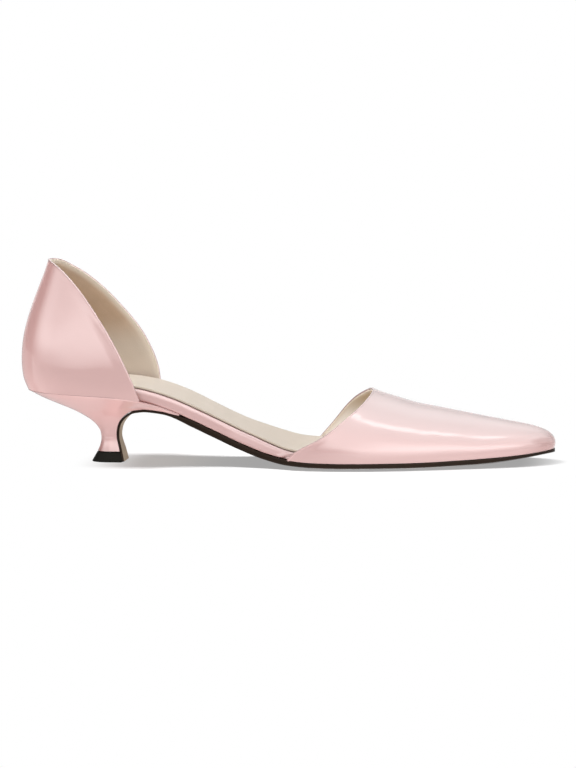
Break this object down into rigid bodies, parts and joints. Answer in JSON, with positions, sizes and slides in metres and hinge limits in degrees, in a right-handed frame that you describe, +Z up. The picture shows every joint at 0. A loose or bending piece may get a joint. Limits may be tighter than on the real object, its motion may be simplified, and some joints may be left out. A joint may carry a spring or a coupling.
{
  "type": "kitten heel pump",
  "caption": "Low-heeled pointed pump, cut open at both sides, with a tall pointed counter, a wrapped insole and a waisted, flared heel.",
  "frame": {"origin": "middle of the shoe's bounding box, on the floor that it stands on", "axes": "+X to the toe, +Y to the inner side of a right foot, +Z up"},
  "size_m": [0.2646, 0.0736, 0.1008],
  "materials": {
    "patent_leather": "glossy pale pink patent leather",
    "heel_cover": "pale pink patent leather stretched over a moulded heel",
    "lining_leather": "matt beige lining leather",
    "sole_leather": "sole leather with dark painted edges and underside",
    "top_piece_rubber": "black moulded top piece"
  },
  "bodies": {
    "root": {"outsole": "sole_leather", "insole": "patent_leather", "sock": "lining_leather", "vamp": "patent_leather", "counter": "patent_leather", "heel": "heel_cover", "top_piece": "top_piece_rubber"}
  },
  "joints": []
}
